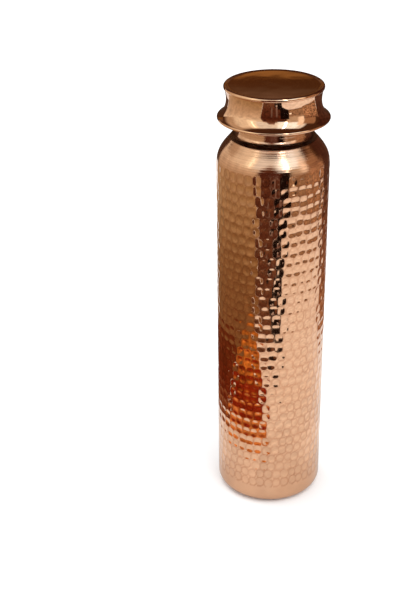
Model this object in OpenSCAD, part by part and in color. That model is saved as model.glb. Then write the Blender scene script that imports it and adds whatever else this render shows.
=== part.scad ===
// Copper water bottle with a screw-on lid, about one litre.
// Millimetres, +Z up, origin at the centre of the foot.  Each module is one physical
// piece, drawn where it sits when the lid is screwed down.  The thread is right-handed:
// the lid turns counter-clockwise, seen from above, and climbs one pitch a turn.

/* [Body] */
// Outside diameter of the straight wall
body_d = 72; // [70:0.5:80]
// Thickness of the copper sheet of the body
sheet_t = 0.6; // [0.5:0.1:1]
// Height where the straight wall ends and the shoulder begins
wall_top_z = 241.8; // [150:0.1:300]
// Rise of the rounded shoulder
shoulder_h = 18.1; // [14:0.1:20]
// Slope of the shoulder, in degrees, where it meets the fillet round the collar
shoulder_slope = 50; // [40:1:56]
// Outside radius of the bend between the shoulder and that fillet
shoulder_edge_r = 0.9; // [0.8:0.1:1.4]

/* [Foot] */
// Radius of the corner between the foot and the wall
foot_corner_r = 7; // [5:0.5:8]
// Inside diameter of the foot ring
foot_bore_d = 55; // [50:1:56]
// Height of the turned-in hem that holds the base plate
foot_hem_h = 4; // [3:0.5:6]

/* [Neck] */
// Outside diameter of the plain collar and of the thread's crest
collar_d = 44.8; // [44:0.2:46]
// Radius of the hollow fillet between the shoulder and the collar
collar_fillet_r = 4.2; // [3:0.1:4.4]
// Diameter of the mouth
mouth_d = 39.6; // [38:0.2:40]
// Gap between the foot of the fillet and the closed lid
lid_gap = 11.5; // [8:0.1:16]
// Height of the mouth above the lid's lower edge
neck_rise = 16.1; // [15.6:0.1:16.1]
// Depth of the thread
thread_depth = 0.9; // [0.7:0.1:1]
// Rise of the thread in one turn
thread_pitch = 4; // [4:0.5:5]
// Turns of thread on the neck
neck_turns = 2.25; // [1.25:0.25:2.25]
// Turns of thread in the lid
lid_turns = 2; // [1:0.25:2]

/* [Lid] */
// Height of the lid
lid_h = 21.7; // [21.5:0.1:22]
// Thickness of the copper sheet of the lid
lid_sheet_t = 0.6; // [0.5:0.1:0.6]
// Diameter over the rolled edge of the flange
flange_d = 70.8; // [70:0.2:72]
// Diameter over the rolled rim of the top
rim_d = 62.6; // [62:0.2:64]
// Radius of the roll around the flange
flange_bead_r = 1; // [1:0.1:1.2]
// Radius of the roll around the top
rim_bead_r = 1.4; // [1.2:0.1:1.5]
// Depth of the flat top below the crest of its rim
top_recess = 0.5; // [0.3:0.1:0.8]
// Outside diameter of the threaded sleeve
sleeve_d = 48; // [47.6:0.2:50]
// Radial clearance between the sleeve and the neck
thread_clearance = 0.35; // [0.3:0.05:0.4]

/* [Seal] */
// Thickness of the silicone ring under the lid
seal_t = 2.2; // [1.8:0.1:2.2]
// Inside diameter of the silicone ring
seal_bore_d = 38.6; // [36:0.2:39]

/* [Hidden] */
$fn = 96;

copper = [0.80, 0.50, 0.36];
copper_polished = [0.88, 0.60, 0.45];
copper_bare = [0.68, 0.38, 0.26];
silicone = [0.90, 0.90, 0.88];

curve_steps = 14;    // facets of one outline curve
thread_steps = 40;   // facets of one turn of thread
thread_root_w = 2.3; // width of a thread ridge at its root
thread_crest_w = 1.3;
ridge_bite = 0.35;   // how far a ridge reaches into its tube
ridge_fade = 0.2;    // turns over which a ridge dies out at each end
flange_turn = 62;    // degrees that the roll round the flange turns on past its widest point

body_r = body_d / 2;
crown_z = wall_top_z + shoulder_h;
foot_bore_r = foot_bore_d / 2;

collar_r = collar_d / 2;
crown_r = collar_r + collar_fillet_r;
mouth_r = mouth_d / 2;
collar_bore_r = collar_r - sheet_t;
thread_root_r = collar_r - thread_depth;

lid_z = crown_z + lid_gap;
collar_top_z = lid_z + 1.2;
lid_top_z = lid_z + lid_h;
mouth_z = lid_z + neck_rise;
liner_z = mouth_z + seal_t;
sleeve_r = sleeve_d / 2;
sleeve_bore_r = collar_r + thread_clearance;
sleeve_crest_r = thread_root_r + thread_clearance;
plate_t = 2 * (flange_bead_r - lid_sheet_t);
bead_r_z = [flange_d / 2 - flange_bead_r, lid_z + flange_bead_r];
rim_r_z = [rim_d / 2 - rim_bead_r, lid_top_z - rim_bead_r];
rim_lip_r = rim_d / 2 - lid_sheet_t;
neck_thread_z = lid_z + 4;
lid_thread_z = neck_thread_z + thread_pitch / 2;

// A cubic curve through p[0] and p[3], and its direction.
function bezier(p, t) = pow(1 - t, 3) * p[0] + 3 * t * pow(1 - t, 2) * p[1]
    + 3 * t * t * (1 - t) * p[2] + t * t * t * p[3];
function bezier_way(p, t) = pow(1 - t, 2) * (p[1] - p[0])
    + 2 * t * (1 - t) * (p[2] - p[1]) + t * t * (p[3] - p[2]);
// The curve moved sideways by d, to the left of its direction.
function side_step(p, t, d) = let (w = bezier_way(p, t) / norm(bezier_way(p, t)))
    bezier(p, t) + d * [-w[1], w[0]];
function curve(p, d = 0) = [for (i = [0:curve_steps]) side_step(p, i / curve_steps, d)];
function arc(c, r, from, to) = [for (i = [0:curve_steps])
    let (a = from + (to - from) * i / curve_steps) c + r * [cos(a), sin(a)]];
function reversed(list) = [for (i = [len(list) - 1:-1:0]) list[i]];

// Outer lines of the shoulder and of the lid's waist, from the bottom up.
edge_r_z = [crown_r, crown_z - shoulder_edge_r];
shoulder_top = edge_r_z + shoulder_edge_r * [sin(shoulder_slope), cos(shoulder_slope)];
shoulder_span = norm(shoulder_top - [body_r, wall_top_z]);
shoulder_line = [[body_r, wall_top_z],
                 [body_r, wall_top_z + 0.45 * shoulder_span],
                 shoulder_top + 0.3 * shoulder_span * [cos(shoulder_slope), -sin(shoulder_slope)],
                 shoulder_top];
waist_line = [bead_r_z + flange_bead_r * [cos(flange_turn), sin(flange_turn)],
              [30, lid_z + 4.8],
              [rim_lip_r - 2.3, lid_top_z - 10.3],
              [rim_lip_r, lid_top_z - 2.4]];

// Turns an outline about the z axis, leaving out points that repeat the one before.
module turned(outline) {
    rotate_extrude() polygon([for (i = [0:len(outline) - 1])
        if (i == 0 || norm(outline[i] - outline[max(i, 1) - 1]) > 0.001) outline[i]]);
}

// A thread ridge: a trapezium swept up a helix.  It stands away from the wall at wall_r,
// outward to a larger crest_r or inward to a smaller one.
module thread_ridge(wall_r, crest_r, z, turns) {
    out = sign(crest_r - wall_r);
    buried_r = wall_r - out * ridge_bite;
    last = round(turns * thread_steps);
    function rise(i) = min(1, min(i, last - i) / (ridge_fade * thread_steps));
    function tip_r(i) = wall_r - out * 0.1 + (crest_r - wall_r + out * 0.1) * rise(i);
    function place(i, r, dz) = let (a = 360 * i / thread_steps)
        [r * cos(a), r * sin(a), z + thread_pitch * i / thread_steps + dz];
    points = [for (i = [0:last]) each [
        place(i, buried_r, -thread_root_w / 2),
        place(i, tip_r(i), -thread_crest_w / 2),
        place(i, tip_r(i), thread_crest_w / 2),
        place(i, buried_r, thread_root_w / 2)]];
    sides = [for (i = [0:last - 1], k = [0:3])
        let (a = 4 * i + k, b = 4 * i + (k + 1) % 4) each [[a, a + 4, b], [b, a + 4, b + 4]]];
    ends = [[0, 1, 2], [0, 2, 3], [4 * last, 4 * last + 2, 4 * last + 1],
            [4 * last, 4 * last + 3, 4 * last + 2]];
    shut = concat(sides, ends);
    polyhedron(points, out > 0 ? [for (f = shut) reversed(f)] : shut);
}

// The spun body: hem, foot, straight wall, shoulder and plain collar in one sheet.
module bottle_body() {
    corner = [body_r - foot_corner_r, foot_corner_r];
    fillet = [collar_r + collar_fillet_r, crown_z + collar_fillet_r];
    color(copper) turned(concat(
        [[foot_bore_r, foot_hem_h], [foot_bore_r, 0]],
        arc(corner, foot_corner_r, -90, 0),
        curve(shoulder_line),
        arc(edge_r_z, shoulder_edge_r, 90 - shoulder_slope, 90),
        arc(fillet, collar_fillet_r, 270, 180),
        [[collar_r, collar_top_z], [collar_bore_r, collar_top_z]],
        arc(fillet, collar_fillet_r + sheet_t, 180, 270),
        arc(edge_r_z, shoulder_edge_r - sheet_t, 90, 90 - shoulder_slope),
        reversed(curve(shoulder_line, sheet_t)),
        arc(corner, foot_corner_r - sheet_t, 0, -90),
        [[foot_bore_r + sheet_t, sheet_t], [foot_bore_r + sheet_t, foot_hem_h]]));
}

// The recessed bottom, a shallow pan brazed inside the foot's hem.
module base_plate() {
    rim_r = foot_bore_r;
    bend_r = 1.4;
    bend = [rim_r - bend_r, foot_hem_h - bend_r];
    color(copper_bare) turned(concat(
        [[0, foot_hem_h - sheet_t]],
        reversed(arc(bend, bend_r - sheet_t, 0, 90)),
        [[rim_r - sheet_t, 0.8], [rim_r, 0.8]],
        arc(bend, bend_r, 0, 90),
        [[0, foot_hem_h]]));
}

// The neck: a spigot brazed inside the collar, a seat on the collar's edge, the outside
// thread and the mouth.
module neck_ring() {
    lip_r = 0.5;
    spigot_z = collar_top_z - 9;
    seat_t = 0.5;
    color(copper_polished) union() {
        turned(concat(
            [[mouth_r, spigot_z], [collar_bore_r, spigot_z], [collar_bore_r, collar_top_z],
             [collar_r, collar_top_z], [collar_r, collar_top_z + seat_t],
             [thread_root_r, collar_top_z + seat_t + thread_depth]],
            arc([thread_root_r - lip_r, mouth_z - lip_r], lip_r, 0, 90),
            arc([mouth_r + lip_r, mouth_z - lip_r], lip_r, 90, 180)));
        thread_ridge(thread_root_r, collar_r, neck_thread_z, neck_turns);
    }
}

// The spun waist of the lid, rolled under the flange and turned up inside the top's rim.
module cap_shell() {
    leaf_r = bead_r_z[0] - 1.2;
    bend_r = flange_bead_r - lid_sheet_t;
    lip_top = rim_r_z[1] + 0.5;
    color(copper_polished) turned(concat(
        [[leaf_r, lid_z]],
        arc(bead_r_z, flange_bead_r, -90, flange_turn),
        curve(waist_line),
        [[rim_lip_r, lip_top], [rim_lip_r - lid_sheet_t, lip_top]],
        reversed(curve(waist_line, lid_sheet_t)),
        arc(bead_r_z, bend_r, flange_turn, -90),
        [[leaf_r, lid_z + lid_sheet_t]]));
}

// The flat top, with its edge rolled down over the shell's lip.
module cap_top_disc() {
    top_z = lid_top_z - top_recess;
    under_z = top_z - lid_sheet_t;
    slot_r = rim_lip_r - lid_sheet_t;
    slot_z = rim_r_z[1] + 0.5;
    color(copper_polished) rotate_extrude() difference() {
        union() {
            translate([0, under_z]) square([rim_r_z[0], lid_sheet_t]);
            translate(rim_r_z) circle(rim_bead_r);
        }
        translate([0, lid_z]) square([slot_r, under_z - lid_z]);
        translate([slot_r, lid_z]) square([lid_sheet_t, slot_z - lid_z]);
    }
}

// The plate that closes the lid's underside, held in the flange's roll.
module cap_base_ring() {
    upstand_h = 3;
    low_z = bead_r_z[1] - plate_t / 2;
    color(copper_bare) turned([
        [sleeve_r, low_z], [bead_r_z[0], low_z], [bead_r_z[0], low_z + plate_t],
        [sleeve_r + plate_t, low_z + plate_t], [sleeve_r + plate_t, low_z + upstand_h],
        [sleeve_r, low_z + upstand_h]]);
}

// The threaded sleeve inside the lid.
module cap_sleeve() {
    low_z = bead_r_z[1] - plate_t / 2;
    lead_in = 0.5;
    color(copper_bare) union() {
        turned([[sleeve_bore_r + lead_in, low_z], [sleeve_r, low_z], [sleeve_r, liner_z],
                [sleeve_bore_r, liner_z], [sleeve_bore_r, low_z + lead_in]]);
        thread_ridge(sleeve_bore_r, sleeve_crest_r, lid_thread_z, lid_turns);
    }
}

// The copper disc that roofs the sleeve, with a shallow stiffening dish in the middle.
module cap_liner() {
    dish_r = 14;
    dish_h = 0.5;
    color(copper_bare) turned([
        [0, liner_z + dish_h], [dish_r, liner_z + dish_h], [dish_r + 2, liner_z],
        [sleeve_r, liner_z], [sleeve_r, liner_z + lid_sheet_t],
        [dish_r + 2, liner_z + lid_sheet_t], [dish_r, liner_z + dish_h + lid_sheet_t],
        [0, liner_z + dish_h + lid_sheet_t]]);
}

// The silicone ring that the lid presses onto the mouth.
module seal_ring() {
    edge_r = 0.4;
    out_r = collar_r;
    in_r = seal_bore_d / 2;
    color(silicone) turned(concat(
        arc([out_r - edge_r, mouth_z + edge_r], edge_r, -90, 0),
        arc([out_r - edge_r, liner_z - edge_r], edge_r, 0, 90),
        arc([in_r + edge_r, liner_z - edge_r], edge_r, 90, 180),
        arc([in_r + edge_r, mouth_z + edge_r], edge_r, 180, 270)));
}

bottle_body();
base_plate();
neck_ring();
cap_shell();
cap_top_disc();
cap_base_ring();
cap_sleeve();
cap_liner();
seal_ring();
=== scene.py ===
"""Copper water bottle: visible pieces, finishes and a plain studio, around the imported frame."""
import math

import bpy
import numpy as np
from mathutils import Matrix, Vector

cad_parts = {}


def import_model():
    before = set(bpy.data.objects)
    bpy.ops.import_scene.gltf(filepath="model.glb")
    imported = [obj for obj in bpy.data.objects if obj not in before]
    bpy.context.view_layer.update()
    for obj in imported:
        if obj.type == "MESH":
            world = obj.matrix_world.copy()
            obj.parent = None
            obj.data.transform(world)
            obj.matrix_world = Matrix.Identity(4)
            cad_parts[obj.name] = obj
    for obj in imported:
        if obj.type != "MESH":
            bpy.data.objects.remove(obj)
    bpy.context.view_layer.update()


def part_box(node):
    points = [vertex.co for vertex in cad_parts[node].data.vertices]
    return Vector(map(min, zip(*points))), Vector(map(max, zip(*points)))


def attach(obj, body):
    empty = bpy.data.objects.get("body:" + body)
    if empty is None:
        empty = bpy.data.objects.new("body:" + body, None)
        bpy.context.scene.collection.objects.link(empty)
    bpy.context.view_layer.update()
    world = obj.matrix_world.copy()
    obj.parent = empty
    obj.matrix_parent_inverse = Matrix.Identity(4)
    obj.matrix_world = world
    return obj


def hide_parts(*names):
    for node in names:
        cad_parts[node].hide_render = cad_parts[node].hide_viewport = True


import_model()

MM = 0.001


# ---------------------------------------------------------------- sizes, in millimetres

def reach(node):
    """A node's radius, and its lowest and highest z, in millimetres."""
    low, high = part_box(node)
    return high.x / MM, low.z / MM, high.z / MM


BODY_R, _, COLLAR_TOP = reach("bottle_body")
FOOT_BORE_R, PLATE_LOW, PLATE_TOP = reach("base_plate")
COLLAR_R, MOUTH_Z, LINER_Z = reach("seal_ring")
FLANGE_R, LID_Z, _ = reach("cap_shell")
RIM_R, _, LID_TOP = reach("cap_top_disc")
SLEEVE_R, SLEEVE_Z, _ = reach("cap_sleeve")
_, RING_Z, RING_TOP = reach("cap_base_ring")
_, NECK_Z, _ = reach("neck_ring")

SHEET = 0.6
FOOT_CORNER_R = 7.0
WALL_TOP = 241.8
CROWN_Z = 259.9
SHOULDER_SLOPE = 50.0
SHOULDER_EDGE_R = 0.9
COLLAR_FILLET = 4.2
MOUTH_R = 19.8
THREAD_DEPTH = 0.9
THREAD_PITCH = 4.0
THREAD_PLAY = 0.35
SEAL_BORE_R = 19.3
FLANGE_BEAD = 1.0
FLANGE_TURN = 62.0
RIM_BEAD = 1.4

# How far the shoulder's curve holds to the wall and to the slope, as shares of its span.
WALL_ARM = 0.45
SLOPE_ARM = 0.3

# The hammering: rows of round dents, struck two rows at a time.
DENTS_ROUND = 40
DENT_ROWS = 34
FIRST_ROW_Z = 18.0
LAST_ROW_Z = 242.0
ROW_PITCH = (LAST_ROW_Z - FIRST_ROW_Z) / (DENT_ROWS - 1)
DENT_ANGLE = 2 * math.pi / DENTS_ROUND
DENT_DEPTH = 0.34
PEEN_R = 16.0
# How much the ridges between the dents are rounded.
RIDGE_SOFT = 0.012
# How far the dents stray: a share of their spacing, millimetres, and a share of their depth.
STRAY_ROUND = 0.06
STRAY_UP = 0.38
STRAY_DEPTH = 0.11
# Painted shade darkens the ridges where two dents are within this depth of each other, and this far
# outside a dent.
RIM_DEPTH = 0.10
RIM_REACH = 0.15
# Where the mesh's columns and rows fall within one dent, as shares of its width.
DENT_PARTS = np.array((0.0, 0.06, 0.2, 0.38, 0.62, 0.8, 0.94))
# How many rings beyond the dented zone the dents may touch, and the ridges' slant dies away over.
DENT_SPILL = 6
SLANT_RINGS = 5

# The threads: heights of their starts, turns, the ridge's widths at its root and crest, and the
# share of a turn over which its ends run out.
NECK_THREAD_Z = LID_Z + 4.0
NECK_TURNS = 2.25
LID_THREAD_Z = NECK_THREAD_Z + THREAD_PITCH / 2
LID_TURNS = 2.0
LID_THREAD_DEPTH = THREAD_DEPTH + 0.1
RIDGE_ROOT_W = 2.3
RIDGE_CREST_W = 1.3
RIDGE_FADE = 0.2

# The lid: centres of the flange's bead and of the top's rim, the shell's lip inside the rim, how
# far the flat top lies below its rim, and how far the flange turns under.
BEAD = (FLANGE_R - FLANGE_BEAD, LID_Z + FLANGE_BEAD)
RIM = (RIM_R - RIM_BEAD, LID_TOP - RIM_BEAD)
LIP_R = RIM_R - SHEET
LIP_TOP = RIM[1] + 0.5
TOP_RECESS = 0.5
FLANGE_HOOK = 1.2


# ---------------------------------------------------------------- outlines

def line(start, end, step):
    """Points from start up to but not including end."""
    start, end = np.array(start, float), np.array(end, float)
    count = max(1, int(round(np.linalg.norm(end - start) / step)))
    return [start + (end - start) * i / count for i in range(count)]


def arc(centre, radius, a0, a1, count):
    """Points on an arc, both ends included, angles in degrees."""
    angles = np.radians(np.linspace(a0, a1, count + 1))
    return [np.array([centre[0] + radius * math.cos(a), centre[1] + radius * math.sin(a)])
            for a in angles]


def bezier(p, count):
    """Points on the cubic curve with these four control points, both ends included."""
    p = np.array(p, float)
    t = np.linspace(0, 1, count + 1)[:, None]
    return list((1 - t) ** 3 * p[0] + 3 * t * (1 - t) ** 2 * p[1]
                + 3 * t * t * (1 - t) * p[2] + t ** 3 * p[3])


def left_of(path):
    """Unit normals to the left of a path."""
    path = np.array(path)
    way = np.gradient(path, axis=0)
    way /= np.linalg.norm(way, axis=1)[:, None]
    return np.stack([-way[:, 1], way[:, 0]], axis=1)


def sheet_outline(path, thickness, kept=None):
    """A closed outline: the path, a round edge, and back along the sheet's other face, to the left.

    kept lists the path's points that the other face keeps; without it, it keeps them all. Also
    returns the index of the outline point where the other face starts."""
    path = np.array(path)
    other = path + left_of(path) * thickness
    end, start = [], []
    for face, back, out in ((path[-1], other[-1], end), (other[0], path[0], start)):
        middle, arm = (face + back) / 2, (face - back) / 2
        ahead = np.array([-arm[1], arm[0]])
        for a in np.radians((36, 72, 108, 144)):
            out.append(middle + arm * math.cos(a) + ahead * math.sin(a))
    if kept is not None:
        other = other[kept]
    return np.vstack([path, end, other[::-1], start]), len(path) + 4


def smooth_corners(corners, radius, step):
    """A closed outline through the corners, each rounded, with points close to every bend."""
    corners = [np.array(c, float) for c in corners]
    out = []
    for i, c in enumerate(corners):
        before, after = corners[i - 1], corners[(i + 1) % len(corners)]
        u, v = before - c, after - c
        lu, lv = np.linalg.norm(u), np.linalg.norm(v)
        if c[0] < 1e-9:
            out.append(c)
        else:
            u, v = u / lu, v / lv
            half = math.acos(max(-1, min(1, float(u @ v)))) / 2
            cut = min(radius / math.tan(half), 0.4 * lu, 0.4 * lv)
            fit = cut * math.tan(half)
            centre = c + (u + v) / np.linalg.norm(u + v) * fit / math.sin(half)
            a0 = math.atan2(*(c + u * cut - centre)[::-1])
            a1 = math.atan2(*(c + v * cut - centre)[::-1])
            turn = (a1 - a0 + math.pi) % (2 * math.pi) - math.pi
            for k in range(5):
                a = a0 + turn * k / 4
                out.append(centre + fit * np.array([math.cos(a), math.sin(a)]))
        nxt = out[-1]
        rest = after - nxt
        length = np.linalg.norm(rest)
        if length > 4 * radius + step:
            tail = 2 * radius
            for s in np.linspace(radius * 0.6, length - tail, max(2, int(length / step))):
                out.append(nxt + rest / length * s)
    return np.array(out)


# ---------------------------------------------------------------- meshes

def add_mesh(name, verts, faces, materials, face_material=None):
    """A smooth-shaded object in the scene, with vertices in metres."""
    mesh = bpy.data.meshes.new(name)
    mesh.from_pydata([tuple(v) for v in verts], [], faces)
    mesh.polygons.foreach_set("use_smooth", [True] * len(mesh.polygons))
    for m in materials:
        mesh.materials.append(m)
    if face_material is not None:
        mesh.polygons.foreach_set("material_index", face_material)
    mesh.validate()
    mesh.update()
    piece = bpy.data.objects.new(name, mesh)
    bpy.context.scene.collection.objects.link(piece)
    return piece


def turned(name, outline, materials, around, slots=None, radius=None, angles=None):
    """A closed outline (r, z in mm) turned about the z axis.

    slots holds one material index for each outline point. radius(r, theta, z, i) gives the radii
    of the ring of outline point i, and angles(i) the angles of its points."""
    outline = np.array(outline)
    count = len(outline)
    even = np.arange(around) * 2 * math.pi / around
    verts, rings = [], []
    for i, (r, z) in enumerate(outline):
        if r < 1e-6:
            rings.append([len(verts)] * around)
            verts.append((0, 0, z * MM))
            continue
        theta = even if angles is None else angles(i)
        rr = np.full(around, r) if radius is None else radius(r, theta, z, i)
        rings.append(list(range(len(verts), len(verts) + around)))
        verts.extend(zip(rr * np.cos(theta) * MM, rr * np.sin(theta) * MM,
                         np.full(around, z * MM)))
    faces, which = [], []
    for i in range(count):
        j = (i + 1) % count
        a, b = rings[i], rings[j]
        if a[0] == a[-1] and b[0] == b[-1]:
            continue
        for k in range(around):
            m = (k + 1) % around
            quad = [a[k], a[m], b[m], b[k]]
            faces.append([v for n, v in enumerate(quad) if v != quad[n - 1]])
            which.append(0 if slots is None else slots[i])
    return add_mesh(name, verts, faces, materials, which)


# ---------------------------------------------------------------- materials

class Nodes:
    """Short forms for building a material's nodes."""

    def __init__(self, name):
        self.material = bpy.data.materials.new(name)
        self.material.use_nodes = True
        self.tree = self.material.node_tree
        self.bsdf = self.tree.nodes["Principled BSDF"]

    def node(self, kind, **inputs):
        n = self.tree.nodes.new(kind)
        for key, value in inputs.items():
            self.feed(n, key.replace("_", " "), value)
        return n

    def feed(self, n, key, value):
        socket = n.inputs[key]
        if isinstance(value, bpy.types.NodeSocket):
            self.tree.links.new(value, socket)
        else:
            socket.default_value = value

    def math(self, operation, a, b=0.0):
        n = self.tree.nodes.new("ShaderNodeMath")
        n.operation = operation
        for i, value in enumerate((a, b)):
            self.feed(n, i, value)
        return n.outputs[0]

    def noise(self, vector, scale, detail=2.0, roughness=0.5):
        n = self.node("ShaderNodeTexNoise", Vector=vector, Scale=scale, Detail=detail,
                      Roughness=roughness)
        return n.outputs["Fac"]

    def spread(self, value, low, high, to_low, to_high):
        """The value, with low to high stretched to to_low to to_high and held at the ends."""
        n = self.node("ShaderNodeMapRange", Value=value, From_Min=low, From_Max=high, To_Min=to_low,
                      To_Max=to_high)
        return n.outputs["Result"]

    def mix(self, factor, a, b):
        """One colour laid over another: sockets 6, 7 and output 2 are the node's colour ones."""
        n = self.tree.nodes.new("ShaderNodeMix")
        n.data_type = "RGBA"
        self.feed(n, 0, factor)
        self.feed(n, 6, a)
        self.feed(n, 7, b)
        return n.outputs[2]

    def bump(self, height, distance, normal=None):
        n = self.node("ShaderNodeBump", Height=height, Distance=distance)
        if normal is not None:
            self.feed(n, "Normal", normal)
        return n.outputs["Normal"]

    def attribute(self, name):
        n = self.tree.nodes.new("ShaderNodeAttribute")
        n.attribute_name = name
        return n

    def place(self):
        return self.node("ShaderNodeTexCoord").outputs["Object"]


def rgb(r, g, b):
    return (r, g, b, 1.0)


def turning_lines(n, place, per_metre):
    """Noise that changes with height and radius but not round the piece: the marks of a lathe."""
    split = n.node("ShaderNodeSeparateXYZ", Vector=place)
    x, y, z = split.outputs
    r = n.math("SQRT", n.math("ADD", n.math("MULTIPLY", x, x), n.math("MULTIPLY", y, y)))
    both = n.node("ShaderNodeCombineXYZ", X=r, Y=z)
    return n.noise(both.outputs[0], per_metre, detail=3.0, roughness=0.65)


# Painted shade for the ridges between the dents.
RIM_SHADE = rgb(0.42, 0.15, 0.065)
# Painted shade: the near-black laid on the band of heights given by recess.
RECESS_SHADE = rgb(0.040, 0.017, 0.010)


def copper(name, colour, deep, rough, lines, waves, coat, line_tone=0.0, recess=None, rim=0.0):
    """Polished copper: patches of deeper tone, smudged gloss, lathe lines and slightly wavy sheet.

    rough is the lowest and highest roughness. lines and waves are the depths in metres of the lathe
    lines and of the sheet's waves, and line_tone is how much the lines darken. recess is a pair of
    heights in metres between which the copper is darkened with painted shade, and rim is how much
    painted shade darkens the ridges round the dents."""
    n = Nodes(name)
    place = n.place()
    tone = n.noise(place, 38.0, detail=4.0, roughness=0.6)
    base = n.mix(n.spread(tone, 0.35, 0.75, 0.0, 0.45), rgb(*colour), rgb(*deep))
    rub = turning_lines(n, place, 900.0)
    smudge = n.noise(place, 95.0, detail=5.0, roughness=0.62)
    gloss = n.math("ADD", n.spread(smudge, 0.35, 0.75, *rough), n.spread(rub, 0.4, 0.7, 0.0, 0.03))
    if line_tone:
        dark = rgb(*(0.6 * c for c in deep))
        base = n.mix(n.spread(rub, 0.4, 0.65, 0.0, line_tone), base, dark)
    if rim:
        # Painted shade: the dents' rims darkened towards a deep red-brown.
        patchy = n.spread(smudge, 0.3, 0.7, rim, 0.6 * rim)
        rim_shading = n.math("MULTIPLY", n.attribute("rim").outputs["Fac"], patchy)
        base = n.mix(rim_shading, base, RIM_SHADE)
        gloss = n.math("ADD", gloss, n.math("MULTIPLY", rim_shading, 0.12))
    if recess:
        # Painted shade: the band between the two heights is darkened towards near-black.
        z = n.node("ShaderNodeSeparateXYZ", Vector=place).outputs["Z"]
        low, high = recess
        soft = 0.0005
        inside = n.math("MULTIPLY", n.spread(z, low - soft, low, 0.0, 1.0),
                        n.spread(z, high - soft, high + soft, 1.0, 0.0))
        patchy = n.math("MULTIPLY", inside, n.spread(smudge, 0.2, 0.6, 0.45, 0.85))
        base = n.mix(patchy, base, RECESS_SHADE)
        gloss = n.math("ADD", gloss, n.math("MULTIPLY", inside, 0.2))
    n.feed(n.bsdf, "Base Color", base)
    n.bsdf.inputs["Metallic"].default_value = 1.0
    n.feed(n.bsdf, "Roughness", gloss)
    wavy = n.bump(n.noise(place, 70.0, detail=1.0), waves)
    fine = n.bump(turning_lines(n, place, 1500.0), lines, wavy)
    n.feed(n.bsdf, "Normal", fine)
    n.bsdf.inputs["Coat Weight"].default_value = coat
    n.bsdf.inputs["Coat Roughness"].default_value = 0.06
    return n.material


def silicone():
    """White silicone: faint clouding, a soft uneven gloss and a fine moulded grain."""
    n = Nodes("silicone_white")
    place = n.place()
    cloud = n.noise(place, 120.0)
    n.feed(n.bsdf, "Base Color", n.mix(cloud, rgb(0.80, 0.80, 0.76), rgb(0.88, 0.88, 0.86)))
    n.feed(n.bsdf, "Roughness", n.spread(n.noise(place, 300.0), 0.3, 0.7, 0.38, 0.55))
    n.feed(n.bsdf, "Normal", n.bump(n.noise(place, 2500.0, detail=3.0), 0.00002))
    n.bsdf.inputs["Subsurface Weight"].default_value = 0.15
    n.bsdf.inputs["Subsurface Radius"].default_value = (0.002, 0.002, 0.002)
    return n.material


# The hammered copper's rim sets the painted shade round its dents.
HAMMERED = copper("copper_hammered", (0.80, 0.47, 0.29), (0.72, 0.38, 0.21), rough=(0.05, 0.11),
                  lines=0.000004, waves=0.00002, coat=0.2, rim=0.50)
# The spun copper's recess band is painted shade on the shoulder's crown, under the lid's flange.
SPUN = copper("copper_spun", (0.83, 0.50, 0.33), (0.76, 0.43, 0.26), rough=(0.07, 0.14),
              lines=0.00008, waves=0.00002, coat=0.05, line_tone=0.30, recess=(0.2598, 0.2612))
# Painted shade: near-black copper for the lid's underside plate, which sits in shade.
UNDERSIDE_SHADE = copper("copper_painted_shade", (0.050, 0.026, 0.018), (0.025, 0.012, 0.009),
                   rough=(0.35, 0.50), lines=0.00001, waves=0.00003, coat=0.0)
POLISHED = copper("copper_polished", (0.82, 0.49, 0.31), (0.74, 0.41, 0.24), rough=(0.04, 0.09),
                  lines=0.000006, waves=0.00005, coat=0.2)
DISC = copper("copper_disc", (0.82, 0.49, 0.31), (0.78, 0.45, 0.28), rough=(0.02, 0.05),
              lines=0.000001, waves=0.00004, coat=0.1)
BARE = copper("copper_bare", (0.60, 0.30, 0.17), (0.42, 0.19, 0.10), rough=(0.22, 0.40),
              lines=0.00001, waves=0.00003, coat=0.0)
SILICONE = silicone()


# ---------------------------------------------------------------- the body

def body_outline():
    """The sheet's outer face, from the hem's top, round the foot and up to the collar's edge.

    Also returns the index of the dented zone's first point, and of the first point above it. The
    last number of each line is the spacing of its points, and of each curve how many it has."""
    heel = 1.0
    low = FIRST_ROW_Z - ROW_PITCH / 2
    high = LAST_ROW_Z + ROW_PITCH / 2
    corner = (BODY_R - FOOT_CORNER_R, FOOT_CORNER_R)
    path = line((FOOT_BORE_R, PLATE_TOP - SHEET / 2), (FOOT_BORE_R, heel), 0.8)
    path += arc((FOOT_BORE_R + heel, heel), heel, 180, 270, 5)
    path += arc(corner, FOOT_CORNER_R, -90, 0, 12)
    path += line((BODY_R, FOOT_CORNER_R + 0.8), (BODY_R, low), 1.4)
    first = len(path)

    slope = math.radians(SHOULDER_SLOPE)
    down_slope = np.array((math.cos(slope), -math.sin(slope)))
    edge = np.array((COLLAR_R + COLLAR_FILLET, CROWN_Z - SHOULDER_EDGE_R))
    top = edge + SHOULDER_EDGE_R * np.array((math.sin(slope), math.cos(slope)))
    wall = np.array((BODY_R, WALL_TOP))
    span = np.linalg.norm(top - wall)
    shoulder = bezier([wall, wall + (0, WALL_ARM * span), top + SLOPE_ARM * span * down_slope, top],
                      400)
    radii, heights = np.array([p for p in shoulder if p[1] > WALL_TOP]).T
    for row in range(DENT_ROWS):
        for part in DENT_PARTS:
            z = low + ROW_PITCH * (row + part)
            r = BODY_R if z <= WALL_TOP else float(np.interp(z, heights, radii))
            path.append(np.array([r, z]))
    last = len(path)

    fillet = (COLLAR_R + COLLAR_FILLET, CROWN_Z + COLLAR_FILLET)
    # The curve was made fine for the dents, so one point in sixteen is enough above them.
    path += [p for p in shoulder if p[1] >= high][:-6:16]
    path += arc(edge, SHOULDER_EDGE_R, 90 - SHOULDER_SLOPE, 90, 5)
    path += arc(fillet, COLLAR_FILLET, 270, 180, 10)[1:]
    path += line((COLLAR_R, fillet[1] + 0.4), (COLLAR_R, COLLAR_TOP - SHEET / 2), 1.1)
    path.append(np.array([COLLAR_R, COLLAR_TOP - SHEET / 2]))
    return path, first, last


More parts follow.
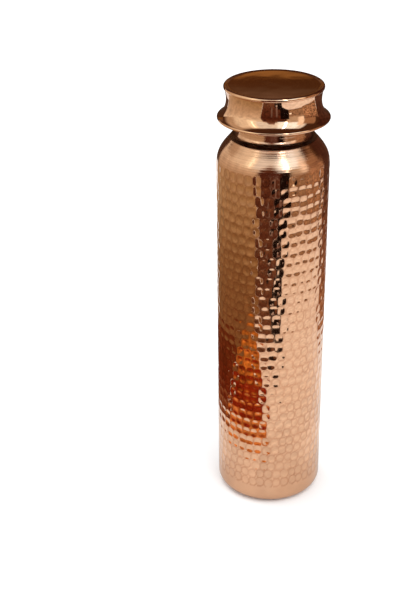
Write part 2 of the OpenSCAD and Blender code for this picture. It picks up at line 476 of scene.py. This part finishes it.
def dent_table(seed):
    """Each dent's angle, height and depth, and the angles of the ridges between neighbours."""
    rng = np.random.default_rng(seed)
    angle = np.zeros((DENT_ROWS, DENTS_ROUND))
    height = np.zeros((DENT_ROWS, DENTS_ROUND))
    depth = np.zeros((DENT_ROWS, DENTS_ROUND))
    phase = 0.0
    for row in range(DENT_ROWS):
        if row % 2 == 0:
            phase += rng.uniform(0.25, 0.75)
        sway = phase + rng.uniform(-0.05, 0.05)
        angle[row] = ((np.arange(DENTS_ROUND) + sway % 1.0) * DENT_ANGLE
                      + rng.normal(0, STRAY_ROUND, DENTS_ROUND) * DENT_ANGLE)
        height[row] = FIRST_ROW_Z + ROW_PITCH * row + rng.normal(0, STRAY_UP, DENTS_ROUND)
        depth[row] = DENT_DEPTH * (1 + rng.normal(0, STRAY_DEPTH, DENTS_ROUND))
    ridge = (angle + np.roll(angle, 1, axis=1)) / 2
    ridge[:, 0] = (angle[:, 0] + angle[:, -1] - 2 * math.pi) / 2
    return angle, height, depth, ridge


def hammered_body():
    """The body's sheet, with the mesh's columns led along the ridges between the dents."""
    path, first, last = body_outline()
    angle, height, depth, ridge = dent_table(7)
    per = len(DENT_PARTS)
    around = DENTS_ROUND * per
    # The inner face has no dents, so it keeps only a few of the path's points.
    few = [*range(0, first, 3), *range(first, last, 4 * per), *range(last, len(path) - 2, 3),
           len(path) - 1]
    outline, inner_from = sheet_outline(path, SHEET, few)

    def columns(row):
        edges = np.append(ridge[row], ridge[row, 0] + 2 * math.pi)
        return (edges[:-1, None] + DENT_PARTS[None] * np.diff(edges)[:, None]).ravel()

    def unwound(row, like):
        """The row's columns, shifted by whole dents so that they lie beside another row's."""
        mine = columns(row)
        shift = round(float(np.mean(like - mine)) / DENT_ANGLE)
        if shift:
            mine = np.roll(mine, -shift * per)
            mine = np.unwrap(mine)
            mine += 2 * math.pi * round(float(np.mean(like - mine)) / (2 * math.pi))
        return mine

    def even_like(cols):
        """Evenly spaced columns that lie, on average, where these do."""
        even = np.arange(around) * 2 * math.pi / around
        return even + float(np.mean(cols - even))

    rows = [columns(0)]
    for row in range(1, DENT_ROWS):
        rows.append(unwound(row, rows[-1]))
    bottom, top = even_like(rows[0]), even_like(rows[-1])

    def angles(i):
        """The ridges' angles in the dented zone, and even ones away from it."""
        if i < first:
            share = max(0.0, 1 - (first - i) / SLANT_RINGS)
            return bottom * (1 - share) + rows[0] * share
        if i < last:
            row, part = divmod(i - first, per)
            if part == 0 and row > 0:
                return (rows[row] + rows[row - 1]) / 2
            return rows[row]
        if i < inner_from:
            share = max(0.0, 1 - (i - last + 1) / SLANT_RINGS)
            return top * (1 - share) + rows[-1] * share
        down = (i - inner_from) / (len(outline) - inner_from)
        return top * (1 - down) + bottom * down

    rims = np.zeros((len(outline), around))

    def radius(r, theta, z, i):
        """The radii after the hammering: each point lies in the deepest dent that reaches it."""
        if i < first - DENT_SPILL or i >= last + DENT_SPILL:
            return np.full(len(theta), r)
        middle = int(round((z - FIRST_ROW_Z) / ROW_PITCH))
        best = np.full(len(theta), -1.0)
        second = best.copy()
        for row in range(max(0, middle - 1), min(DENT_ROWS, middle + 2)):
            away = (theta[:, None] - angle[row][None] + math.pi) % (2 * math.pi) - math.pi
            near = np.argmin(abs(away), axis=1)
            for side in (-1, 0, 1):
                pick = (near + side) % DENTS_ROUND
                a = (theta - angle[row][pick] + math.pi) % (2 * math.pi) - math.pi
                x = a * BODY_R
                y = z - height[row][pick]
                d = (depth[row][pick] - x * x / 2 * (1 / PEEN_R + 1 / BODY_R)
                     - y * y / 2 / PEEN_R)
                second = np.maximum(second, np.minimum(best, d))
                best = np.maximum(best, d)
        dent = RIDGE_SOFT * np.logaddexp(0, best / RIDGE_SOFT)
        close = np.minimum(best - second, np.maximum(best, 0))
        # The mask for the painted shade on the ridges between the dents.
        rims[i] = np.clip(1 - close / RIM_DEPTH, 0, 1) * (best > -RIM_REACH)
        return r - dent

    slots = [1 if i >= inner_from else 2 if i >= last else 0 for i in range(len(outline))]
    made = turned("body_hammered", outline, [HAMMERED, BARE, SPUN], around, slots, radius, angles)
    made.data.attributes.new("rim", "FLOAT", "POINT").data.foreach_set("value", rims.ravel())
    return made


# ---------------------------------------------------------------- base plate and neck

def make_base_plate():
    """The recessed base: a shallow pan inside the foot's hem."""
    bend = 1.4
    path = line((FOOT_BORE_R, PLATE_LOW + SHEET / 2), (FOOT_BORE_R, PLATE_TOP - bend), 0.3)
    path += arc((FOOT_BORE_R - bend, PLATE_TOP - bend), bend, 0, 90, 8)
    path += line((FOOT_BORE_R - bend - 0.3, PLATE_TOP), (0.6, PLATE_TOP), 1.0)
    path.append(np.array([0.0, PLATE_TOP]))
    path = np.array(path)
    under = path + left_of(path) * SHEET
    under[-1] = (0.0, PLATE_TOP - SHEET)
    middle = (path[0] + under[0]) / 2
    edge = [middle + SHEET / 2 * np.array([math.cos(a), math.sin(a)])
            for a in np.radians((216, 252, 288, 324))]
    return turned("base_pan", np.vstack([path, under[::-1], edge]), [BARE], 160)


def ridge_height(theta, z, start, turns):
    """How high a thread ridge stands, from 0 to 1, at an angle and a height."""
    turn = theta / (2 * math.pi) % 1.0
    best = np.zeros(len(theta))
    for n in range(-1, int(turns) + 2):
        along = turn + n
        off = abs(z - (start + THREAD_PITCH * along))
        rise = np.clip((RIDGE_ROOT_W / 2 - off) / ((RIDGE_ROOT_W - RIDGE_CREST_W) / 2), 0, 1)
        rise = rise * rise * (3 - 2 * rise)
        ends = np.clip(np.minimum(along, turns - along) / RIDGE_FADE, 0, 1)
        best = np.maximum(best, rise * ends)
    return best


def make_neck():
    """The neck: a spigot inside the collar, a seat on its edge, the thread and the mouth."""
    root = COLLAR_R - THREAD_DEPTH
    seat = COLLAR_TOP + 0.5
    spigot_r = COLLAR_R - SHEET
    corners = [(MOUTH_R, NECK_Z), (spigot_r, NECK_Z), (spigot_r, COLLAR_TOP),
               (COLLAR_R, COLLAR_TOP), (COLLAR_R, seat), (root, seat + THREAD_DEPTH),
               (root, MOUTH_Z), (MOUTH_R, MOUTH_Z)]
    outline = smooth_corners(corners, 0.3, 0.22)

    def radius(r, theta, z, i):
        if r < root - 0.05:
            return np.full(len(theta), r)
        ridge = THREAD_DEPTH * ridge_height(theta, z, NECK_THREAD_Z, NECK_TURNS)
        return r + ridge * (abs(r - root) < 0.02)

    return turned("neck_threaded", outline, [POLISHED], 180, None, radius)


# ---------------------------------------------------------------- the lid

def make_lid_shell():
    """Rolled under at the flange, up the spun waist, and turned up inside the top's rim."""
    path = line((BEAD[0] - FLANGE_HOOK + SHEET / 2, LID_Z), (BEAD[0], LID_Z), 0.3)
    path += arc(BEAD, FLANGE_BEAD, -90, FLANGE_TURN, 16)
    waist = [path[-1], (30.0, LID_Z + 4.8), (LIP_R - 2.3, LID_TOP - 10.3), (LIP_R, LID_TOP - 2.4)]
    path += bezier(waist, 64)[1:]
    path += line((LIP_R, LID_TOP - 2.2), (LIP_R, LIP_TOP - SHEET / 2), 0.4)
    outline, inner_from = sheet_outline(path, SHEET)
    slots = [0 if i < inner_from else 1 for i in range(len(outline))]
    return turned("lid_shell", outline, [POLISHED, BARE], 288, slots)


def make_lid_top():
    """The flat top, recessed inside its rolled rim, whose edge hooks down over the shell."""
    top = LID_TOP - TOP_RECESS
    under = top - SHEET
    swing = math.degrees(math.acos((LIP_R - RIM[0]) / RIM_BEAD))
    inner_turn = math.degrees(math.asin((top - RIM[1]) / RIM_BEAD))
    foot = RIM[0] - RIM_BEAD * math.cos(math.radians(inner_turn))
    path = [np.array([0.0, top])]
    path += line((0.8, top), (foot - 0.9, top), 0.9)
    path += bezier([(foot - 0.9, top), (foot - 0.2, top), (foot - 0.1, top + 0.02),
                    (foot + 0.12, top + 0.14)], 5)
    path += arc(RIM, RIM_BEAD, 180 - inner_turn - 7, -swing, 26)
    # The slot that the shell's lip stands in.
    path += [np.array([LIP_R + 0.02, RIM[1] - 0.9]), np.array([LIP_R + 0.02, LIP_TOP]),
             np.array([LIP_R - SHEET, LIP_TOP]), np.array([LIP_R - SHEET, under])]
    path += line((LIP_R - SHEET - 0.6, under), (0.8, under), 1.6)
    path += [np.array([0.0, under])]
    return turned("lid_top", path, [DISC], 288)


def make_base_ring():
    """The plate that closes the lid's underside, with an upstand round the sleeve."""
    plate = 0.8
    corners = [(SLEEVE_R, RING_Z), (BEAD[0], RING_Z), (BEAD[0], RING_Z + plate),
               (SLEEVE_R + plate, RING_Z + plate), (SLEEVE_R + plate, RING_TOP),
               (SLEEVE_R, RING_TOP)]
    # Its near-black copper is painted shade.
    return turned("lid_base_ring", smooth_corners(corners, 0.15, 1.0), [UNDERSIDE_SHADE], 200)


def make_sleeve():
    """The sleeve that the lid's thread stands in."""
    bore = COLLAR_R + THREAD_PLAY
    lead_in = 0.5
    corners = [(bore + lead_in, SLEEVE_Z), (SLEEVE_R, SLEEVE_Z), (SLEEVE_R, LINER_Z),
               (bore, LINER_Z), (bore, SLEEVE_Z + lead_in)]
    outline = smooth_corners(corners, 0.12, 0.22)

    def radius(r, theta, z, i):
        if abs(r - bore) > 0.02:
            return np.full(len(theta), r)
        return r - LID_THREAD_DEPTH * ridge_height(theta, z, LID_THREAD_Z, LID_TURNS)

    return turned("lid_sleeve", outline, [BARE], 180, None, radius)


def make_liner():
    """The disc that roofs the sleeve, with a shallow dish pressed up in the middle."""
    dish_r, slope_w, dish_h = 14.0, 2, 0.5
    under = [(0, LINER_Z + dish_h), (dish_r, LINER_Z + dish_h), (dish_r + slope_w, LINER_Z),
             (SLEEVE_R, LINER_Z)]
    corners = under + [(r, z + SHEET) for r, z in under[::-1]]
    return turned("lid_liner", smooth_corners(corners, 0.2, 1.0), [BARE], 160)


def make_seal():
    """The silicone ring between the mouth and the liner."""
    corners = [(SEAL_BORE_R, MOUTH_Z), (COLLAR_R, MOUTH_Z), (COLLAR_R, LINER_Z),
               (SEAL_BORE_R, LINER_Z)]
    return turned("seal", smooth_corners(corners, 0.4, 0.3), [SILICONE], 160)


for piece, node, body_name, slot in (
        (hammered_body(), "bottle_body", "bottle", "copper_hammered"),
        (make_base_plate(), "base_plate", "bottle", "copper_bare"),
        (make_neck(), "neck_ring", "bottle", "copper_polished"),
        (make_lid_shell(), "cap_shell", "cap", "copper_polished"),
        (make_lid_top(), "cap_top_disc", "cap", "copper_polished"),
        (make_base_ring(), "cap_base_ring", "cap", "copper_bare"),
        (make_sleeve(), "cap_sleeve", "cap", "copper_bare"),
        (make_liner(), "cap_liner", "cap", "copper_bare"),
        (make_seal(), "seal_ring", "seal", "silicone")):
    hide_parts(node)
    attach(piece, body_name)


# ---------------------------------------------------------------- studio

# What the metal sees where nothing else is reflected.
DIM_BROWN = (0.07, 0.03, 0.014)
# A little more than the camera's white, so that the far floor is as white as the background.
SOFT_WHITE = rgb(1.09, 1.09, 1.09)


def floor():
    """A plain pale floor. The metal sees it in painted shade, duller and clouded, and darkest
    beside the bottle in a painted contact shadow.
    """
    size, drop, steps = 4.0, 0.0001, 8
    row = steps + 1
    grid = np.linspace(-size, size, row)
    verts = [(x, y, -drop) for y in grid for x in grid]
    faces = [[j * row + i, j * row + i + 1, (j + 1) * row + i + 1, (j + 1) * row + i]
             for j in range(steps) for i in range(steps)]
    n = Nodes("floor_pale")
    place = n.place()
    pale = n.mix(n.noise(place, 3.0), rgb(0.93, 0.93, 0.93), rgb(0.95, 0.95, 0.95))
    cloud = n.spread(n.noise(place, 16.0, detail=3.0), 0.35, 0.65, 0.0, 1.0)
    away = n.node("ShaderNodeVectorMath", Vector=place)
    away.operation = "LENGTH"
    # Painted contact shadow: darker beside the bottle, seen only in the metal.
    beside = n.spread(away.outputs["Value"], 0.036, 0.075, 0.25, 0.0)
    # Painted shade: the floor that the metal sees is a duller, clouded copy.
    shaded_in_metal = n.mix(cloud, rgb(0.58, 0.57, 0.56), rgb(0.78, 0.78, 0.77))
    shaded_in_metal = n.mix(beside, shaded_in_metal, rgb(0.40, 0.33, 0.29))
    reflected = n.node("ShaderNodeLightPath").outputs["Is Glossy Ray"]
    n.feed(n.bsdf, "Base Color", n.mix(reflected, pale, shaded_in_metal))
    n.bsdf.inputs["Roughness"].default_value = 0.9
    n.bsdf.inputs["Specular IOR Level"].default_value = 0.1
    add_mesh("studio_floor", verts, faces, [n.material])


def glow(name, mottle, grain):
    """Light-giving paint: the mesh's own colours, broken up by noise."""
    n = Nodes(name)
    n.material.cycles.emission_sampling = "NONE"
    n.tree.nodes.remove(n.bsdf)
    colour = n.attribute("glow").outputs["Color"]
    blotch = n.noise(n.place(), grain, detail=3.0, roughness=0.6)
    give = n.node("ShaderNodeEmission", Color=colour,
                  Strength=n.spread(blotch, 0.3, 0.7, 1 - mottle, 1 + mottle))
    n.tree.links.new(give.outputs[0], n.tree.nodes["Material Output"].inputs["Surface"])
    return n.material


def reflector(name, places, colours, mottle, grain):
    """A glowing grid that only shows in the metal.

    places[i][j] is a point and colours[i][j] its light."""
    across, up = len(places), len(places[0])
    verts = [p for column in places for p in column]
    faces = [[i * up + j, (i + 1) * up + j, (i + 1) * up + j + 1, i * up + j + 1]
             for i in range(across - 1) for j in range(up - 1)]
    made = add_mesh(name, verts, faces, [glow(name + "_paint", mottle, grain)])
    paint = made.data.attributes.new("glow", "FLOAT_COLOR", "POINT")
    light = np.array([(*c, 1.0) for column in colours for c in column], float)
    paint.data.foreach_set("color", light.ravel())
    made.visible_camera = False
    made.visible_diffuse = False
    made.visible_shadow = False
    made.visible_transmission = False


def card(name, left, right, distance, stops, mottle=0.0, grain=20.0):
    """A curved card round the bottle, between two edges.

    An edge is an azimuth, or (height, azimuth) pairs from the bottom up. Azimuth 0 is towards the
    camera and 90 to the right, in degrees. stops are (height, red, green, blue)."""
    count = 30
    stops = np.array(stops)
    heights = np.unique(np.concatenate([stops[:, 0],
                                        np.linspace(stops[0, 0], stops[-1, 0], count)]))
    light = np.stack([np.interp(heights, stops[:, 0], stops[:, k]) for k in (1, 2, 3)], axis=1)
    edges = []
    for edge in (left, right):
        pairs = np.array(edge if isinstance(edge, tuple) else ((0.0, edge),), float)
        edges.append(np.interp(heights, pairs[:, 0], pairs[:, 1]))
    places = []
    for across in np.linspace(0, 1, count):
        a = np.radians(edges[0] + (edges[1] - edges[0]) * across)
        places.append(list(zip(distance * np.sin(a), -distance * np.cos(a), heights)))
    reflector(name, places, [light] * len(places), mottle, grain)


def step_between(value, low, high, soft):
    """1 between low and high, falling smoothly to 0 over soft on both sides."""
    t = np.clip(np.minimum(value - low, high - value) / soft + 0.5, 0, 1)
    return t * t * (3 - 2 * t)


def room():
    """The room that the metal sees: a dim brown dome with bright patches.

    A patch is its azimuths, its elevations, how soft its edges are both ways, and its light."""
    radius, eye, lowest = 1.3, 0.26, -11.3
    patches = (
        ((-132, -28), (-90, 60), (16, 10), (0.56, 0.45, 0.33)),
        ((-104, -28), (4, 56), (22, 14), (0.92, 0.88, 0.74)),
        ((-68, -44), (16, 57), (8, 10), (1.25, 1.30, 1.12)),
        ((-46, 80), (20, 58), (10, 5), (0.95, 1.05, 1.08)),
        ((6, 62), (20, 58), (10, 5), (1.35, 1.70, 1.95)),
        ((26, 70), (-20, 24), (6, 6), (0.62, 0.52, 0.40)),
        ((54, 72), (0, 40), (5, 8), (1.20, 1.10, 0.95)),
        ((70, 104), (-20, 34), (4, 8), (0.40, 0.24, 0.14)),
        ((-57, -53), (22, 54), (2, 6), (2.4, 2.4, 2.2)),
        ((22.5, 27.5), (20, 59), (1.5, 3), (10.0, 10.0, 10.0)),
    )
    azimuths = np.linspace(-180, 180, 361)
    elevations = np.linspace(lowest, 90, 60)
    places, colours = [], []
    for azimuth in azimuths:
        light = np.tile(np.array(DIM_BROWN), (len(elevations), 1))
        for across, up, soft, colour in patches:
            share = (step_between(azimuth, *across, soft[0])
                     * step_between(elevations, *up, soft[1]))
            light = light * (1 - share[:, None]) + np.array(colour) * share[:, None]
        a, e = math.radians(azimuth), np.radians(elevations)
        places.append(list(zip(radius * np.cos(e) * math.sin(a),
                               -radius * np.cos(e) * math.cos(a), eye + radius * np.sin(e))))
        colours.append(light)
    reflector("room", places, colours, 0.16, 6.0)


def soft_light(name, at, power):
    """A large lamp aimed at the bottle, which the metal doesn't reflect."""
    data = bpy.data.lights.new(name, "AREA")
    data.size = 1.4
    data.energy = power
    lamp = bpy.data.objects.new(name, data)
    lamp.location = at
    aim = Vector((0, 0, 0.1)) - Vector(at)
    lamp.rotation_euler = aim.to_track_quat("-Z", "Y").to_euler()
    lamp.visible_glossy = False
    bpy.context.scene.collection.objects.link(lamp)


def world():
    """White to the camera, white for soft light, and dim brown to the metal."""
    w = bpy.data.worlds.new("studio")
    bpy.context.scene.world = w
    w.use_nodes = True
    tree = w.node_tree
    back = tree.nodes["Background"]
    path = tree.nodes.new("ShaderNodeLightPath")

    def choose(factor, a, b):
        mix = tree.nodes.new("ShaderNodeMix")
        mix.data_type = "RGBA"
        tree.links.new(factor, mix.inputs[0])
        for index, value in ((6, a), (7, b)):  # the node's two colours
            if isinstance(value, tuple):
                mix.inputs[index].default_value = value
            else:
                tree.links.new(value, mix.inputs[index])
        return mix.outputs[2]

    unseen = choose(path.outputs["Is Glossy Ray"], SOFT_WHITE, rgb(*DIM_BROWN))
    colour = choose(path.outputs["Is Camera Ray"], unseen, rgb(1.0, 1.0, 1.0))
    tree.links.new(colour, back.inputs["Color"])


floor()
world()
soft_light("key", (0.7, -0.9, 1.6), 14)
soft_light("fill", (-0.9, 0.6, 1.5), 9)

# The dark and tan things that the wall and the lid reflect, from the front round to the back.
room()
card("front_brown", ((0.11, -31), (0.30, -32), (0.36, -26)),
     ((0.11, 15), (0.16, 29), (0.31, 29), (0.34, 4)), 0.263,
     [(0.0, 0.18, 0.09, 0.05), (0.12, 0.12, 0.045, 0.025), (0.30, 0.085, 0.024, 0.013),
      (0.345, 0.12, 0.045, 0.025), (0.365, 0.45, 0.32, 0.26), (0.385, 0.85, 0.88, 0.88)],
     mottle=0.6, grain=34.0)
card("front_tongue", ((0.345, -20), (0.45, -13)), ((0.345, 0), (0.45, -2)), 0.262,
     [(0.345, 0.12, 0.045, 0.025), (0.40, 0.22, 0.11, 0.075), (0.45, 0.80, 0.80, 0.80)],
     mottle=0.5, grain=34.0)
card("front_black", ((0.11, -2), (0.16, 11)), ((0.11, 16), (0.16, 30)), 0.26,
     [(0.0, 0.03, 0.018, 0.014), (0.12, 0.012, 0.007, 0.006), (0.31, 0.01, 0.004, 0.003)],
     mottle=0.7, grain=40.0)
card("front_stripe", -10, -7, 0.259,
     [(0.09, 0.13, 0.07, 0.045), (0.14, 0.24, 0.17, 0.15), (0.25, 0.17, 0.12, 0.11),
      (0.28, 0.09, 0.03, 0.018)])
card("front_stripe_right", 1, 4.5, 0.259,
     [(0.07, 0.95, 0.9, 0.9), (0.10, 0.30, 0.22, 0.2), (0.25, 0.20, 0.14, 0.13),
      (0.28, 0.09, 0.03, 0.018)])
card("left_tan", ((0.15, -150), (0.20, -134)), -31, 0.18,
     [(0.0, 0.20, 0.09, 0.035), (0.11, 0.28, 0.165, 0.075), (0.13, 0.35, 0.235, 0.12),
      (0.17, 0.45, 0.33, 0.19), (0.22, 0.55, 0.43, 0.30), (0.28, 0.70, 0.60, 0.47),
      (0.31, 0.86, 0.80, 0.66)],
     mottle=0.25, grain=34.0)
# Where the photograph's tumbler was reflected.
card("low_warm", ((0.0, -100), (0.095, -52)), ((0.0, -8), (0.04, -14), (0.095, -32)), 0.11,
     [(0.0, 0.75, 0.36, 0.14), (0.012, 0.70, 0.28, 0.08), (0.028, 0.24, 0.02, 0.006),
      (0.05, 0.27, 0.035, 0.008), (0.066, 0.66, 0.24, 0.05), (0.082, 0.50, 0.18, 0.03),
      (0.095, 0.35, 0.15, 0.04)],
     mottle=0.6, grain=60.0)
card("low_dark", -150, ((0.0, -96), (0.08, -70)), 0.112,
     [(0.0, 0.30, 0.12, 0.05), (0.03, 0.15, 0.025, 0.008), (0.08, 0.15, 0.04, 0.013)],
     mottle=0.4, grain=45.0)
card("right_tan", 20, 70, 0.55,
     [(0.0, 0.26, 0.16, 0.10), (0.06, 0.36, 0.24, 0.15), (0.20, 0.34, 0.22, 0.14),
      (0.28, 0.55, 0.43, 0.32)],
     mottle=0.6, grain=22.0)
card("right_mottled", 68, 112, 0.5,
     [(0.0, 0.30, 0.18, 0.10), (0.06, 0.42, 0.26, 0.16), (0.25, 0.45, 0.27, 0.16),
      (0.36, 0.20, 0.10, 0.06)],
     mottle=1.7, grain=42.0)
card("right_spot", 32, 37, 0.5, [(0.135, 1.7, 1.7, 1.6), (0.175, 1.7, 1.7, 1.6)])
card("right_dark", 110, 150, 0.243,
     [(0.0, 0.40, 0.20, 0.10), (0.08, 0.24, 0.10, 0.05), (0.16, 0.10, 0.045, 0.028),
      (0.45, 0.05, 0.015, 0.008)],
     mottle=0.5, grain=30.0)
# Its bands above 0.44 m are what the lid's top reflects.
card("back_brown", 140, 218, 0.6,
     [(0.05, 0.12, 0.07, 0.045), (0.20, 0.07, 0.035, 0.02), (0.44, 0.08, 0.035, 0.015),
      (0.452, 0.33, 0.17, 0.05), (0.469, 0.30, 0.14, 0.038), (0.472, 0.075, 0.024, 0.006),
      (0.481, 0.085, 0.032, 0.011), (0.488, 0.11, 0.055, 0.026), (0.50, 0.18, 0.105, 0.065),
      (0.60, 0.07, 0.03, 0.015)],
     mottle=0.12, grain=10.0)


# ---------------------------------------------------------------- camera

def camera():
    """The photograph's viewing angle, from the fit of the bottle's outline."""
    data = bpy.data.cameras.new("camera")
    data.sensor_width = 36.0
    data.lens = 69.3
    data.clip_start = 0.01
    cam = bpy.data.objects.new("camera", data)
    at = (-0.0474, -0.6883, 0.5079)
    pitch, roll = math.radians(27.9), math.radians(-0.99)
    cam.matrix_world = (Matrix.Translation(at) @ Matrix.Rotation(math.pi / 2 - pitch, 4, "X")
                        @ Matrix.Rotation(roll, 4, "Z"))
    bpy.context.scene.collection.objects.link(cam)
    bpy.context.scene.camera = cam


camera()
bpy.context.scene.view_settings.view_transform = "Standard"
